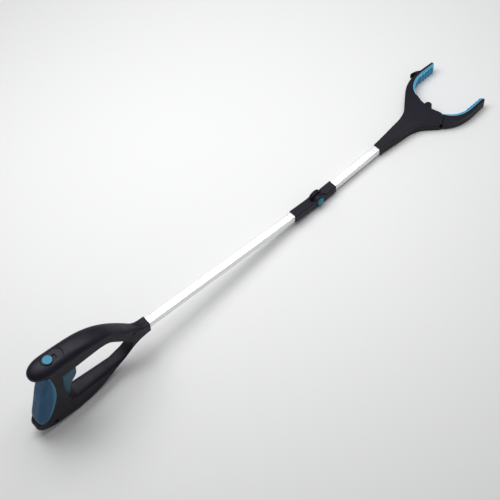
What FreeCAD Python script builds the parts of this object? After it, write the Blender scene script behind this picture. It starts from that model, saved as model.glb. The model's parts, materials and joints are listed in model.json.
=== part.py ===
import FreeCAD, Part
import math
import os

# Folding reacher grabber: a handle with a squeeze trigger, a square tube that folds on a
# hinge, and a head with two sprung jaws. Millimetres. The rear section (handle and rear
# tube) and the front section (front tube and head) are each drawn straight along +X with
# the tube's centre line on Z = 0 and the fold axis at X = 0. Their placements then set
# them in the resting pose: the head flat on the ground and the handle on its foot.

os.makedirs("parts", exist_ok=True)
doc = FreeCAD.newDocument("reacher_grabber")
Vec = FreeCAD.Vector

# ------------------------------------------------------------------ driving dimensions
DIMENSIONS = [
    ("tube_side", 11.4), ("tube_wall", 0.9), ("tube_corner", 1.0), ("fit_gap", 0.05),
    ("move_gap", 0.3),
    ("rest_tilt", 6.6), ("front_axis_height", 10.25), ("fold_height", 3.2),
    ("foot_reach", 443.0), ("foot_length", 26.0),
    ("socket_side", 14.8), ("hinge_rear_reach", 49.0), ("hinge_front_reach", 33.0),
    ("knuckle_radius", 11.0), ("tongue_width", 7.0), ("cheek_thickness", 3.6),
    ("fold_pin_radius", 2.0), ("button_radius", 6.0), ("button_height", 3.6),
    ("tube_seat", 14.0),
    ("handle_front", 320.0), ("handle_tube_end", 334.0), ("loop_height", 38.8),
    ("cover_wall", 3.0), ("guide_radius", 3.0), ("guide_half", 6.6),
    ("trigger_pivot_x", 450.0), ("trigger_pivot_z", 58.0), ("trigger_half", 6.8),
    ("trigger_lever", 14.5), ("trigger_pin_radius", 2.0),
    ("cable_radius", 0.7), ("cable_corner_x", 384.0),
    ("cable_corner_z", 48.0), ("cable_low_x", 341.1), ("cable_split", 5.15),
    ("lock_radius", 6.4), ("lock_x", 467.3), ("lock_travel", 8.0), ("lock_top", 78.1),
    ("neck_start", 127.0), ("neck_half", 7.0), ("head_half_height", 10.25),
    ("jaw_pivot_x", 220.5), ("jaw_pivot_y", 18.0), ("seam_radius", 22.85),
    ("tongue_half", 4.0), ("jaw_pin_radius", 1.8), ("hub_radius", 3.9),
    ("lever_radius", 8.0), ("lever_angle", 15.55), ("lever_pin_radius", 1.9),
    ("jaw_half_height", 8.1), ("jaw_tip_x", 306.0), ("pad_inner_y", 48.6),
    ("boss_x", 239.8), ("boss_radius", 5.6), ("magnet_radius", 3.6),
    ("screw_radius", 1.5), ("screw_head_radius", 2.8), ("screw_recess", 0.9),
    ("screw_head_height", 2.3),
]
sheet = doc.addObject("Spreadsheet::Sheet", "sheet")
for row, (alias, value) in enumerate(DIMENSIONS, start=1):
    sheet.set("A%d" % row, alias)
    sheet.set("B%d" % row, str(value))
    sheet.setAlias("B%d" % row, alias)
doc.recompute()
size = {alias: float(sheet.get(alias)) for alias, value in DIMENSIONS}

HALF_TUBE = size["tube_side"] / 2
HALF_SOCKET = size["socket_side"] / 2
FOLD_Z = size["fold_height"]

# ------------------------------------------------------------------ resting placements
tilt = math.radians(size["rest_tilt"])
foot_rise = size["front_axis_height"] + FOLD_Z
fold_x = (size["foot_reach"] * math.cos(tilt)
          + (foot_rise + size["foot_reach"] * math.sin(tilt)) * math.tan(tilt))
fold_point = Vec(fold_x, 0, foot_rise)
rear_turn = FreeCAD.Rotation(Vec(0, 1, 0), size["rest_tilt"])
REAR = FreeCAD.Placement(fold_point - rear_turn.multVec(Vec(0, 0, FOLD_Z)), rear_turn)
FRONT = FreeCAD.Placement(Vec(fold_x, 0, size["front_axis_height"]), FreeCAD.Rotation())

# ------------------------------------------------------------------ building helpers
PLANES = {
    "side": FreeCAD.Rotation(Vec(1, 0, 0), 90),      # sketch X, Y become X, Z
    "plan": FreeCAD.Rotation(),                      # sketch X, Y stay X, Y
    "end": FreeCAD.Rotation(Vec(1, 1, 1), 120),      # sketch X, Y become Y, Z
}
NORMALS = {"side": Vec(0, -1, 0), "plan": Vec(0, 0, 1), "end": Vec(1, 0, 0)}
finished = []


def flat(point):
    return Vec(point[0], point[1], 0)


def line(*points):
    """Straight edges through the given 2D points."""
    return [Part.LineSegment(flat(a), flat(b)) for a, b in zip(points[:-1], points[1:])]


def curve(*points):
    """One smooth curve through the given 2D points."""
    spline = Part.BSplineCurve()
    spline.interpolate([flat(p) for p in points])
    return [spline]


def arc(start, middle, end):
    return [Part.Arc(flat(start), flat(middle), flat(end))]


def polar(centre, radius, degrees):
    angle = math.radians(degrees)
    return (centre[0] + radius * math.cos(angle), centre[1] + radius * math.sin(angle))


def mirror_y(points):
    return [(x, -y) for x, y in reversed(points)]


def sketch(name, plane, edges):
    """A sketch of closed outlines on one of the three base planes."""
    made = doc.addObject("Sketcher::SketchObject", name)
    made.Placement = FreeCAD.Placement(Vec(), PLANES[plane])
    made.addGeometry(edges, False)
    return made


def extrude(name, plane, edges, low, high):
    """A solid from an outline, from low to high along the plane's own axis (+Y for side)."""
    made = doc.addObject("Part::Extrusion", name)
    made.Base = sketch(name + "_outline", plane, edges)
    made.DirMode = "Custom"
    made.Dir = Vec(0, 1, 0) if plane == "side" else NORMALS[plane]
    made.LengthFwd = high
    made.LengthRev = -low
    made.Solid = True
    made.FaceMakerClass = "Part::FaceMakerBullseye"
    return made


def bind_extrude(made, low_rule, high_rule):
    made.setExpression("LengthRev", low_rule)
    made.setExpression("LengthFwd", high_rule)
    return made


def cylinder(name, centre, axis, radius, low, high, radius_rule=None):
    """A cylinder along the X, Y or Z axis through centre, from low to high on that axis."""
    made = doc.addObject("Part::Cylinder", name)
    made.Radius = radius
    made.Height = high - low
    if radius_rule:
        made.setExpression("Radius", radius_rule)
    base = Vec(*centre)
    if axis == "x":
        base.x = low
        turn = FreeCAD.Rotation(Vec(0, 1, 0), 90)
    elif axis == "y":
        base.y = low
        turn = FreeCAD.Rotation(Vec(1, 0, 0), -90)
    else:
        base.z = low
        turn = FreeCAD.Rotation()
    made.Placement = FreeCAD.Placement(base, turn)
    return made


def box(name, x, y, z):
    made = doc.addObject("Part::Box", name)
    made.Length, made.Width, made.Height = x[1] - x[0], y[1] - y[0], z[1] - z[0]
    made.Placement = FreeCAD.Placement(Vec(x[0], y[0], z[0]), FreeCAD.Rotation())
    return made


def fuse(name, *objects):
    made = doc.addObject("Part::MultiFuse", name)
    made.Shapes = list(objects)
    made.Refine = True
    return made


def common(name, *objects):
    made = doc.addObject("Part::MultiCommon", name)
    made.Shapes = list(objects)
    return made


def cut(name, base, *tools):
    made = doc.addObject("Part::Cut", name)
    made.Base = base
    made.Tool = tools[0] if len(tools) == 1 else fuse(name + "_tools", *tools)
    return made


def coded(name, shape):
    """A shape that no parametric feature draws, such as a loft through half ellipses."""
    made = doc.addObject("Part::Feature", name)
    made.Shape = shape
    return made


def finish(label, made, place):
    """Set a finished sub-part in its resting place under the name its file takes."""
    doc.recompute()
    made.Label = label
    made.Placement = place.multiply(made.Placement)
    finished.append(made)
    return made


def ring_of(*pieces):
    edges = []
    for piece in pieces:
        edges.extend(piece)
    return edges


def rounded_square(half, corner):
    """A square outline about the origin with round corners."""
    inner = half - corner
    near = corner * (1 - math.sqrt(0.5))
    edges = []
    for turn in range(4):
        angle = turn * math.pi / 2
        cosine, sine = round(math.cos(angle)), round(math.sin(angle))

        def spin(p):
            return (p[0] * cosine - p[1] * sine, p[0] * sine + p[1] * cosine)
        edges += line(spin((half, -inner)), spin((half, inner)))
        edges += arc(spin((half, inner)), spin((half - near, half - near)), spin((inner, half)))
    return edges


def coil(name, centre, axis, radius, wire, low, high, turns):
    """A wound spring about an axis through centre."""
    pitch = (high - low - 2 * wire) / turns
    helix = Part.makeHelix(pitch, high - low - 2 * wire, radius)
    start = Vec(radius, 0, 0)
    circle = Part.Wire(Part.makeCircle(wire, start, Vec(0, radius, pitch / (2 * math.pi))))
    solid = Part.Wire(helix).makePipeShell([circle], True, True)
    turn = FreeCAD.Rotation(Vec(1, 0, 0), -90) if axis == "y" else FreeCAD.Rotation()
    base = Vec(*centre)
    if axis == "y":
        base.y = low + wire
    else:
        base.z = low + wire
    solid.transformShape(FreeCAD.Placement(base, turn).toMatrix())
    return solid


# ================================================================== rear section
# ------------------------------------------------------------------ handle outlines
FRONT_X = -size["handle_front"]
LOOP_TOP = size["loop_height"]
TOP_LINE = [(FRONT_X, 7.9), (-332, 9.5), (-346, 21.5), (-366, 41), (-389, 56), (-416, 63.8),
            (-440, 66.2), (-478, 66.8)]
PAD_SEAM = [(-477, 56), (-474.5, 31), (-475.5, 15), (-479, 0), (-486, -18), (-494, -34),
            (-500, -42)]
PAD_CROWN = [(-484, 56), (-487.5, 40), (-494.5, 22), (-500.5, 3), (-506.5, -16),
             (-510.5, -31), (-511, -42)]
CORE_BACK = [(-480.5, 56), (-484.3, 38), (-491.3, 20), (-497.3, 2), (-502.6, -17),
             (-506, -31), (-506.3, -42.6)]
foot_half = size["foot_length"] / 2


def on_ground(x):
    """The point at this X that rests on the ground once the rear section is tilted."""
    return (x, FOLD_Z - (foot_rise - x * math.sin(tilt)) / math.cos(tilt))


FOOT_BACK = on_ground(-size["foot_reach"] - foot_half)
FOOT_FRONT = on_ground(-size["foot_reach"] + foot_half)


def handle_side():
    """The handle's side outline without the pad, and with its finger loop."""
    outer = ring_of(
        curve(*TOP_LINE),
        line(TOP_LINE[-1], PAD_SEAM[0], CORE_BACK[0]),
        curve(*CORE_BACK),
        line(CORE_BACK[-1], (-510.5, -43)),
        curve((-510.5, -43), (-514.2, -45.2), (-515.2, -49), (-511, -53.5)),
        curve((-511, -53.5), (-500, -57.3), (-477, -61.5), FOOT_BACK),
        line(FOOT_BACK, FOOT_FRONT),
        curve(FOOT_FRONT, (-414, -54.5), (-389, -41), (-361, -25), (-338, -11.5),
              (FRONT_X, -8.9)),
        line((FRONT_X, -8.9), TOP_LINE[0]))
    loop = ring_of(
        line((-459, LOOP_TOP), (-402, LOOP_TOP)),
        curve((-402, LOOP_TOP), (-388, 35.5), (-373, 21), (-358, 4), (-353, -6)),
        curve((-353, -6), (-356, -15), (-366, -23.5), (-382, -28)),
        line((-382, -28), (-448, -28)),
        curve((-448, -28), (-456, -24), (-460, -12), (-461.5, 4), (-459, LOOP_TOP)))
    return outer + loop


def handle_plan(gap):
    """The handle seen from above: half widths growing from the tube to the grip."""
    side = [(FRONT_X, 7.9 - gap), (-345, 8.3 - gap), (-376, 9.6 - gap), (-410, 10.9 - gap),
            (-445, 12.0 - gap), (-475, 12.4 - gap), (-498, 11.8 - gap), (-508, 10.6 - gap),
            (-516, 8.0 - gap)]
    return ring_of(curve(*side), line(side[-1], mirror_y(side)[0]), curve(*mirror_y(side)),
                   line(mirror_y(side)[-1], side[0]))


# The grip's core is narrower behind the pad's seam, so the soft pad wraps round it.
CORE_HALF = 9.2
body_block = common("handle_block",
                    extrude("handle_profile", "side", handle_side(), -15, 15),
                    extrude("handle_width", "plan", handle_plan(0), -80, 90))
pad_zone_edges = ring_of(curve(*PAD_SEAM), line(PAD_SEAM[-1], (-520, -42), (-520, 56),
                                                PAD_SEAM[0]))
side_strip = cut("pad_side_strips",
                 extrude("pad_zone", "side", pad_zone_edges, -20, 20),
                 box("core_keep", (-525, -470), (-CORE_HALF, CORE_HALF), (-45, 60)))
handle_body = cut("handle_body", body_block, side_strip)

# Hollow for the cable and the trigger, the trigger's slots, and a hollow in the guard.
cavity_side = ring_of(
    line((-336, -4.5), (-336, 8)),
    curve((-336, 8), (-347, 18.5), (-366, 37.3), (-389, 52.5), (-416, 60.8), (-440, 63.6)),
    line((-440, 63.6), (-476, 64), (-478.3, 52)),
    curve((-478.3, 52), (-482, 37), (-488.8, 19), (-494.5, 1), (-497.5, -26)),
    line((-497.5, -26), (-456, -26), (-456, LOOP_TOP + 2.6), (-402, LOOP_TOP + 2.6)),
    curve((-402, LOOP_TOP + 2.6), (-386.5, 37.7), (-371, 22.9), (-355.5, 5.5), (-350, -4.5)),
    line((-350, -4.5), (-336, -4.5)))
cavity_plan_side = [(-335, 5.4), (-376, 7.1), (-440, 7.7), (-500, 7.7)]
cavity_plan = ring_of(line(*cavity_plan_side),
                      line(cavity_plan_side[-1], mirror_y(cavity_plan_side)[0]),
                      line(*mirror_y(cavity_plan_side)),
                      line(mirror_y(cavity_plan_side)[-1], cavity_plan_side[0]))
bay = common("handle_bay", extrude("bay_profile", "side", cavity_side, -9, 9),
             extrude("bay_width", "plan", cavity_plan, -60, 80))
SCREWS = [(-347.5, 13.2, 8.2), (-405, 57.0, 10.4), (-392, -36.0, 9.9), (-488, -50.0, 11.4)]
SHANK_END = 6.5
HEAD_DEPTH = size["screw_recess"] + size["screw_head_height"]
post_pieces = []
for number, (x, z, half) in enumerate(SCREWS[:2]):
    post_pieces.append(cylinder("bay_post_%d" % number, (x, 0, z), "y",
                                size["screw_radius"] + 1.3, -9, 9))
    post_pieces.append(cylinder("bay_collar_%d" % number, (x, 0, z), "y",
                                size["screw_head_radius"] + 1.4, -9, -half + HEAD_DEPTH + 1.5))
posts = fuse("bay_posts", *post_pieces)
bay_hollow = cut("handle_bay_hollow", bay, posts)
guard_hollow = extrude("guard_hollow", "side", ring_of(
    line((-404, -33), (-452, -33), (-484, -31), (-480, -55), (-456, -59.5), (-431, -57),
         (-412, -49), (-404, -33))), -8, 8)
tube_seat = box("handle_tube_seat", (-size["handle_tube_end"], FRONT_X + 1),
                (-HALF_TUBE, HALF_TUBE), (-HALF_TUBE, HALF_TUBE))
tube_lead = box("handle_tube_lead", (-337, -size["handle_tube_end"] + 1), (-4.7, 4.7), (-4.7, 4.7))
trigger_slot = box("trigger_slot", (-471, -433.5), (-7.3, 7.3), (30, LOOP_TOP + 4))
grip_mouth = box("grip_mouth", (-475, -450), (-7.3, 7.3), (-26, LOOP_TOP + 4))
lock_window = box("lock_window", (-489, -461), (-5, 5), (60, 70))
GUIDES = [(-339.2, 4.3), (-393.1, 43.1)]
GUIDE_HALF = size["guide_half"]
bores = [cylinder("trigger_pin_bore", (-size["trigger_pivot_x"], 0, size["trigger_pivot_z"]),
                  "y", size["trigger_pin_radius"], -10, 10, "sheet.trigger_pin_radius")]
for number, (x, z) in enumerate(GUIDES):
    bores.append(cylinder("guide_bore_%d" % number, (x, 0, z), "y", size["guide_radius"],
                          -GUIDE_HALF, GUIDE_HALF, "sheet.guide_radius"))
for number, (x, z, half) in enumerate(SCREWS):
    bores.append(cylinder("screw_bore_%d" % number, (x, 0, z), "y", size["screw_radius"],
                          -half, SHANK_END, "sheet.screw_radius"))
    bores.append(cylinder("screw_seat_%d" % number, (x, 0, z), "y",
                          size["screw_head_radius"], -half - 8, -half + HEAD_DEPTH,
                          "sheet.screw_head_radius"))
handle_solid = cut("handle_hollowed", handle_body, bay_hollow, guard_hollow, tube_seat,
                   tube_lead, trigger_slot, grip_mouth, lock_window, *bores)
for side_name, low, high in (("right", -20, 0), ("left", 0, 20)):
    half_space = box("half_space_" + side_name, (-530, -300), (low, high), (-80, 100))
    finish("handle_shell_" + side_name,
           common("shell_" + side_name, handle_solid, half_space), REAR)

# ------------------------------------------------------------------ top cover
COVER = [  # x, half width, edge height, rise of the crown
    (-346, 7.0, 19.5, 1.6), (-366, 9.2, 39.5, 3.6), (-389, 12.6, 54.5, 7.0),
    (-402, 14.4, 59.0, 9.0), (-416, 15.5, 62.2, 10.6), (-440, 15.9, 64.8, 11.8),
    (-470, 16.4, 65.4, 12.2), (-485, 14.6, 65.4, 11.4), (-493, 10.6, 65.4, 9.2),
    (-497.6, 4.5, 65.4, 5.0)]


SQUARENESS = 0.8


def arch_point(angle):
    """A point on a unit arch that is a little squarer than a half circle."""
    across, up = math.cos(angle), math.sin(angle)
    return math.copysign(abs(across) ** SQUARENESS, across), abs(up) ** SQUARENESS


def dome(inset):
    """A loft through rounded arches, its crown and sides set in by the given amount."""
    wires = []
    for x, half, edge, rise in COVER:
        wide = max(half - inset, 0.8)
        tall = max(rise - inset, 0.6)
        arch = []
        for degrees in (0, 14, 32, 60, 90, 120, 148, 166, 180):
            across, up = arch_point(math.radians(degrees))
            arch.append(Vec(x, wide * across, edge + tall * up))
        top = Part.BSplineCurve()
        top.interpolate(arch)
        wires.append(Part.Wire([top.toShape(), Part.LineSegment(arch[-1], arch[0]).toShape()]))
    return Part.makeLoft(wires, True, False)


below_cover = extrude("below_cover", "side", ring_of(
    curve(*TOP_LINE), line(TOP_LINE[-1], (-505, 66.8), (-505, 0), (FRONT_X, 0), TOP_LINE[0])),
    -20, 20)
cover_outer = coded("cover_dome", dome(0))
cover_inner = coded("cover_hollow", dome(size["cover_wall"]))
LOCK_X = -size["lock_x"]
RECESS_HALF = size["lock_radius"] + 2.8
RECESS_END = LOCK_X + 13.0
RECESS_FLOOR = 75.3
recess = extrude("thumb_recess", "plan", ring_of(
    line((LOCK_X, RECESS_HALF), (RECESS_END, RECESS_HALF)),
    arc((RECESS_END, RECESS_HALF), (RECESS_END + RECESS_HALF, 0), (RECESS_END, -RECESS_HALF)),
    line((RECESS_END, -RECESS_HALF), (LOCK_X, -RECESS_HALF)),
    arc((LOCK_X, -RECESS_HALF), (LOCK_X - RECESS_HALF, 0), (LOCK_X, RECESS_HALF))),
    RECESS_FLOOR, 90)
lock_slot = box("lock_slot", (LOCK_X - 3.6, LOCK_X + 3.6 + size["lock_travel"]), (-3.4, 3.4),
                (60, 90))
finish("handle_top_cover",
       cut("top_cover", cover_outer, below_cover, cover_inner, recess, lock_slot), REAR)

# ------------------------------------------------------------------ palm pad
pad_zone_outer = ring_of(
    curve(*PAD_SEAM), line(PAD_SEAM[-1], PAD_CROWN[-1]),
    curve(*reversed(PAD_CROWN)), line(PAD_CROWN[0], PAD_SEAM[0]))
pad_block = common("pad_block", extrude("pad_profile", "side", pad_zone_outer, -13, 13),
                   extrude("pad_width", "plan", ring_of(
                       line((-465, 12.4), (-480, 12.4)),
                       curve((-480, 12.4), (-500, 12.1), (-509, 10.3), (-513, 6), (-514, 0),
                             (-513, -6), (-509, -10.3), (-500, -12.1), (-480, -12.4)),
                       line((-480, -12.4), (-465, -12.4), (-465, 12.4))), -60, 70))
pad_core = extrude("pad_core", "side", ring_of(
    line((-465, 60), (CORE_BACK[0][0], 60), CORE_BACK[0]), curve(*CORE_BACK),
    line(CORE_BACK[-1], (-465, CORE_BACK[-1][1]), (-465, 60))), -CORE_HALF, CORE_HALF)
finish("grip_pad", cut("pad_wrap", pad_block, pad_core), REAR)

# ------------------------------------------------------------------ trigger and its pin
PIVOT = (-size["trigger_pivot_x"], size["trigger_pivot_z"])
blade = extrude("trigger_blade", "side", ring_of(
    line((-463, 36), (-436, 36)),
    curve((-436, 36), (-438, 27), (-438.8, 20), (-440.2, 15.5), (-444, 10), (-449.5, 3),
          (-452.5, -7), (-456, -17)),
    curve((-456, -17), (-459, -20), (-463, -16)),
    curve((-463, -16), (-465, 0), (-463, 36))), -6.8, 6.8)
bind_extrude(blade, "sheet.trigger_half", "sheet.trigger_half")
stem = extrude("trigger_stem", "side", ring_of(
    line((-456, 30), (-444, 30), (-444, 58)),
    arc((-444, 58), (PIVOT[0], 63), (-456, 58)), line((-456, 58), (-456, 30))), -3.2, 3.2)
pin_hole = cylinder("trigger_hole", (PIVOT[0], 0, PIVOT[1]), "y",
                    size["trigger_pin_radius"] + size["fit_gap"], -9, 9,
                    "sheet.trigger_pin_radius + sheet.fit_gap")
wire_z = size["trigger_pivot_z"] - size["trigger_lever"]
wire_slot = box("trigger_wire_slot", (-462, -440), (-1.4, 1.4), (wire_z - 3.8, wire_z + 3.2))
finish("trigger", cut("trigger_lever_solid", fuse("trigger_solid", blade, stem), pin_hole,
                      wire_slot), REAR)
finish("trigger_pin", cylinder("trigger_axle", (PIVOT[0], 0, PIVOT[1]), "y",
                               size["trigger_pin_radius"], -9.8, 9.8,
                               "sheet.trigger_pin_radius"), REAR)
finish("trigger_spring", coded("trigger_coil", coil("trigger_coil", (PIVOT[0], 0, PIVOT[1]), "y",
                                                    3.4, 0.45, 3.6, 7.3, 2.75)), REAR)

# ------------------------------------------------------------------ lock slide
plate = box("lock_plate", (LOCK_X - 7.2, LOCK_X + 8), (-4.6, 4.6), (70.2, 72.0))
leg = box("lock_leg", (LOCK_X - 7.2, LOCK_X - 4.2), (-2.8, 2.8), (58.8, 72.0))
toe = box("lock_toe", (LOCK_X - 7.2, LOCK_X + 2), (-2.8, 2.8), (58.8, 61.6))
finish("lock_slide", fuse("lock_carrier", plate, leg, toe), REAR)
lock_stem = box("lock_stem", (LOCK_X - 3.1, LOCK_X + 3.1), (-2.9, 2.9), (72.0, 76.5))
disc = cylinder("lock_disc", (LOCK_X, 0, 0), "z", size["lock_radius"], RECESS_FLOOR + 0.4,
                size["lock_top"], "sheet.lock_radius")
finish("lock_button", fuse("lock_thumb_button", lock_stem, disc), REAR)

# ------------------------------------------------------------------ handle fasteners, guides
screws = []
for number, (x, z, half) in enumerate(SCREWS):
    screws.append(cylinder("screw_head_%d" % number, (x, 0, z), "y",
                           size["screw_head_radius"] - 0.1, -half + size["screw_recess"],
                           -half + HEAD_DEPTH,
                           "sheet.screw_head_radius - 0.1"))
    screws.append(cylinder("screw_shank_%d" % number, (x, 0, z), "y", size["screw_radius"],
                           -half + HEAD_DEPTH - 0.2, SHANK_END - 0.1, "sheet.screw_radius"))
finish("handle_screws", fuse("screw_group", *screws), REAR)
guides = [cylinder("guide_%d" % n, (x, 0, z), "y", size["guide_radius"], -GUIDE_HALF, GUIDE_HALF,
                   "sheet.guide_radius") for n, (x, z) in enumerate(GUIDES)]
finish("cable_guides", fuse("guide_group", *guides), REAR)

# ------------------------------------------------------------------ rear tube and its cable


def square_tube(name, low, high):
    outline = (rounded_square(HALF_TUBE, size["tube_corner"])
               + rounded_square(HALF_TUBE - size["tube_wall"], size["tube_corner"] * 0.4))
    return extrude(name, "end", outline, low, high)


rear_tube = square_tube("rear_square_tube", -size["handle_tube_end"], -size["tube_seat"])
finish("rear_tube", rear_tube, REAR)


def wire_run(points, bend_radius):
    """A round wire along straight runs joined by round bends."""
    edges = []
    last = Vec(*points[0])
    for before, corner, after in zip(points[:-2], points[1:-1], points[2:]):
        before, corner, after = Vec(*before), Vec(*corner), Vec(*after)
        back = (before - corner).normalize()
        ahead = (after - corner).normalize()
        half_angle = back.getAngle(ahead) / 2
        setback = bend_radius / math.tan(half_angle)
        start, end = corner + back * setback, corner + ahead * setback
        centre = corner + (back + ahead).normalize() * (bend_radius / math.sin(half_angle))
        middle = centre + (corner - centre).normalize() * bend_radius
        edges.append(Part.LineSegment(last, start).toShape())
        edges.append(Part.Arc(start, middle, end).toShape())
        last = end
    edges.append(Part.LineSegment(last, Vec(*points[-1])).toShape())
    spine = Part.Wire(edges)
    first, second = Vec(*points[0]), Vec(*points[1])
    circle = Part.Wire(Part.makeCircle(size["cable_radius"], first, second - first))
    return spine.makePipeShell([circle], True, False)


stop_x = PIVOT[0] - 6 - 3.2
route = [(stop_x, 0, wire_z), (PIVOT[0] + 9, 0, wire_z),
         (-size["cable_corner_x"], 0, size["cable_corner_z"]),
         (-size["cable_low_x"], 0, 0), (-size["cable_split"] - 0.25, 0, 0)]
WIRE_BEND = 8.0
finish("cable_rear", coded("rear_wire", wire_run(route, WIRE_BEND)), REAR)
stop = cut("cable_stop_drilled",
           cylinder("cable_stop_barrel", (stop_x, 0, wire_z), "y", 2.4, -3.0, 3.0),
           cylinder("cable_stop_bore", (0, 0, wire_z), "x", size["cable_radius"],
                    stop_x, stop_x + 6, "sheet.cable_radius"))
finish("cable_stop", stop, REAR)

# ------------------------------------------------------------------ fold hinge, rear half
CHEEK_IN = HALF_SOCKET - size["cheek_thickness"]
KNUCKLE = size["knuckle_radius"]
CLEAR = KNUCKLE + 0.4


def knuckle_outline(radius, toward):
    """A disc about the fold axis, flat at the socket's underside, joined to its socket."""
    floor = -HALF_SOCKET
    reach = math.sqrt(radius ** 2 - (FOLD_Z - floor) ** 2)
    joint = (toward * 14.0, HALF_SOCKET)
    lead = math.sqrt(radius ** 2 - (HALF_SOCKET - FOLD_Z) ** 2)
    far = polar((0, FOLD_Z), radius, 90 - toward * 90 + 180)
    return ring_of(
        line((-toward * reach, floor), (toward * 14.0, floor), joint,
             (toward * lead, HALF_SOCKET)),
        arc((toward * lead, HALF_SOCKET), (-toward * radius * math.sqrt(0.5),
                                           FOLD_Z + radius * math.sqrt(0.5)), far),
        arc(far, polar((0, FOLD_Z), radius, -90 - toward * 66),
            (-toward * reach, floor)))


def socket_block(name, low, high):
    return extrude(name, "end", rounded_square(HALF_SOCKET, 1.6), low, high)


swing = cylinder("fold_clearance", (0, 0, FOLD_Z), "y", CLEAR, -20, 20)
rear_block = cut("hinge_rear_block",
                 socket_block("hinge_rear_socket_block", -size["hinge_rear_reach"], -9),
                 cylinder("rear_swing", (0, 0, FOLD_Z), "y", CLEAR, -CHEEK_IN, CHEEK_IN),
                 extrude("rear_top_relief", "side", ring_of(
                     line((-9, 3.5), (-9, 8), (-13.8, 8), (-9, 3.5))), -CHEEK_IN, CHEEK_IN))
cheeks = [extrude("cheek_" + name, "side", knuckle_outline(KNUCKLE, -1), low, high)
          for name, low, high in (("left", CHEEK_IN, HALF_SOCKET),
                                  ("right", -HALF_SOCKET, -CHEEK_IN))]
hinge_rear = cut(
    "hinge_rear_solid", fuse("hinge_rear_fused", rear_block, *cheeks),
    box("hinge_rear_tube_seat", (-50, -size["tube_seat"]), (-HALF_TUBE, HALF_TUBE),
        (-HALF_TUBE, HALF_TUBE)),
    cylinder("rear_cable_way", (0, 0, 0), "x", 1.6, -20, -5),
    cylinder("rear_pin_bore", (0, 0, FOLD_Z), "y", size["fold_pin_radius"], -5, 9,
             "sheet.fold_pin_radius"),
    cylinder("button_bore", (0, 0, FOLD_Z), "y", size["button_radius"] + 0.3,
             -9, -HALF_SOCKET + 3.0, "sheet.button_radius + sheet.move_gap"))
finish("hinge_rear_socket", hinge_rear, REAR)
pin_body = cylinder("fold_pin_shank", (0, 0, FOLD_Z), "y", size["fold_pin_radius"],
                    -HALF_SOCKET + 3.0, HALF_SOCKET + 0.1, "sheet.fold_pin_radius")
pin_head = cylinder("fold_pin_head", (0, 0, FOLD_Z), "y", 3.6, HALF_SOCKET, HALF_SOCKET + 1.0)
finish("hinge_pin", fuse("fold_pin", pin_body, pin_head), REAR)

# The release button is a hollow cap that slides along the fold axis against a coil.
button_rim = -HALF_SOCKET + 0.8
button_skirt = cylinder("button_skirt", (0, 0, FOLD_Z), "y", size["button_radius"],
                        -HALF_SOCKET - 1.0, button_rim, "sheet.button_radius")
button_crown = doc.addObject("Part::Cone", "button_crown")
button_crown.Height = size["button_height"] - 1.0
button_crown.setExpression("Height", "sheet.button_height - 1")
button_crown.setExpression("Radius1", "sheet.button_radius")
button_crown.setExpression("Radius2", "sheet.button_radius * 0.55")
button_crown.Placement = FreeCAD.Placement(Vec(0, -HALF_SOCKET - 1.0, FOLD_Z),
                                           FreeCAD.Rotation(Vec(1, 0, 0), 90))
button_hollow = cylinder("button_hollow", (0, 0, FOLD_Z), "y", 4.2, -HALF_SOCKET - 1.2,
                         button_rim + 1)
finish("fold_release_button",
       cut("release_button", fuse("button_cap", button_skirt, button_crown), button_hollow), REAR)
finish("release_spring", coded("release_coil", coil("release_coil", (0, 0, FOLD_Z), "y", 3.3,
                                                    0.3, -6.5, -4.45, 2)), REAR)

# ================================================================== front section
TONGUE = size["tongue_width"] / 2
tongue = extrude("tongue", "side", knuckle_outline(KNUCKLE - 0.1, 1), -TONGUE, TONGUE)
front_block = cut("hinge_front_block",
                  socket_block("hinge_front_socket_block", 3, size["hinge_front_reach"]),
                  swing,
                  extrude("front_top_relief", "side", ring_of(
                      line((9, 3.5), (9, 8), (13.8, 8), (9, 3.5))), -8, 8))
# The cable runs under the pin. A groove round the tongue clears it as the hinge folds.
CORE, RIM = 4.9, 13.0
GROOVE_START, GROOVE_MIDDLE, GROOVE_END = 40, 130, 220
FOLD = (0, FOLD_Z)


def about_fold(radius, *angles):
    return [polar(FOLD, radius, angle) for angle in angles]


groove = extrude("cable_groove", "side", ring_of(
    arc(*about_fold(RIM, GROOVE_START, GROOVE_MIDDLE, GROOVE_END)),
    line(polar(FOLD, RIM, GROOVE_END), polar(FOLD, CORE, GROOVE_END)),
    arc(*about_fold(CORE, GROOVE_END, GROOVE_MIDDLE, GROOVE_START)),
    line(polar(FOLD, CORE, GROOVE_START), polar(FOLD, RIM, GROOVE_START))), -1.15, 1.15)
cable_mouth = fuse("cable_mouth", groove,
                   box("cable_mouth_block", (-14, 14), (-1.15, 1.15), (-9, FOLD_Z - 2.35)))
hinge_front = cut(
    "hinge_front_solid", fuse("hinge_front_fused", front_block, tongue), cable_mouth,
    box("hinge_front_tube_seat", (size["tube_seat"] + 2, 40), (-HALF_TUBE, HALF_TUBE),
        (-HALF_TUBE, HALF_TUBE)),
    cylinder("front_cable_way", (0, 0, 0), "x", 1.6, 5, 25),
    cylinder("front_pin_bore", (0, 0, FOLD_Z), "y", size["fold_pin_radius"] + 0.05, -5, 5,
             "sheet.fold_pin_radius + sheet.fit_gap"))
finish("hinge_front_socket", hinge_front, FRONT)
NECK = size["neck_start"]
finish("front_tube", square_tube("front_square_tube", size["tube_seat"] + 2, NECK + 20), FRONT)

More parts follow.
